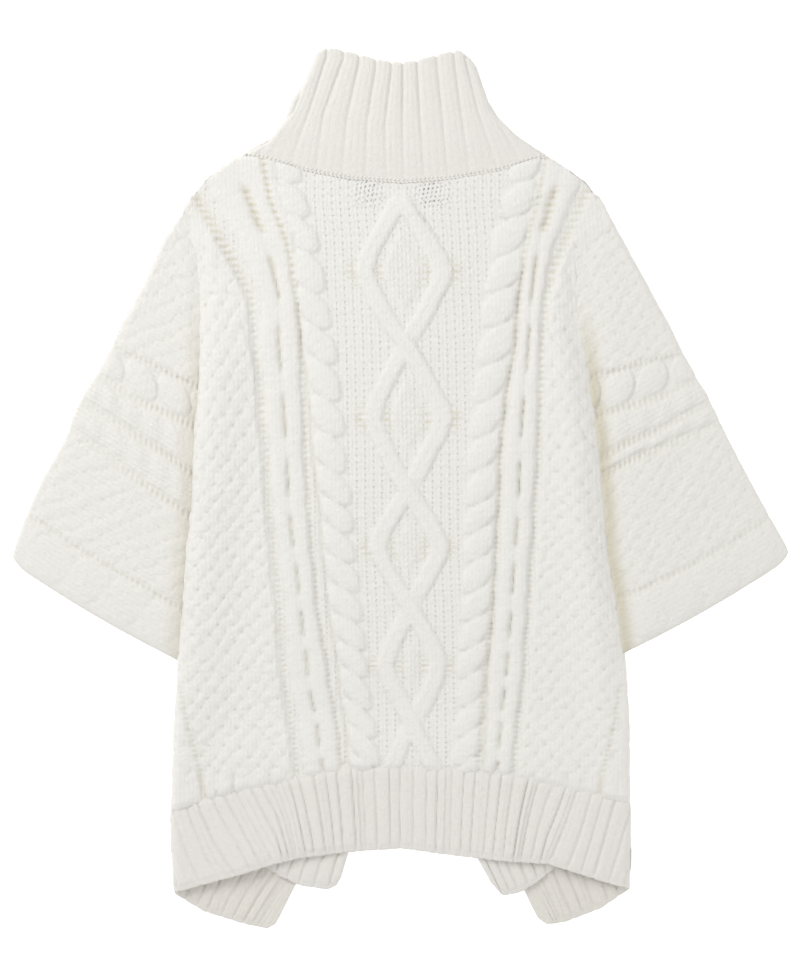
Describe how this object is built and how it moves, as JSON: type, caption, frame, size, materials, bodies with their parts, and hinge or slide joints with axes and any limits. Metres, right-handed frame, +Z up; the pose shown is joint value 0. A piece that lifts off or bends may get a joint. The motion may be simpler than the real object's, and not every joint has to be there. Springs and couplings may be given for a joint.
{
  "type": "knitted poncho sweater laid flat",
  "caption": "Chunky cable-knit poncho sweater with a tall ribbed funnel neck, wide three-quarter sleeves and ribbed hem bands, laid flat back side up.",
  "frame": {"origin": "middle of the garment's box, on the surface that it lies on", "axes": "+Y towards the collar, +X to the right of a person who looks down at the back, +Z up from the surface"},
  "size_m": [0.8112, 0.919, 0.0181],
  "materials": {
    "cable_knit": "cream chunky wool blend, cabled",
    "sleeve_knit": "cream chunky wool blend, cabled",
    "rib_knit": "cream chunky wool blend, ribbed",
    "label_cloth": "plain woven tape, blank"
  },
  "bodies": {
    "root": {"back_panel": "cable_knit", "front_left": "cable_knit", "front_right": "cable_knit", "sleeve_left": "sleeve_knit", "sleeve_right": "sleeve_knit", "collar": "rib_knit", "hem_band_back": "rib_knit", "hem_band_front_left": "rib_knit", "hem_band_front_right": "rib_knit", "neck_label": "label_cloth"}
  },
  "joints": []
}
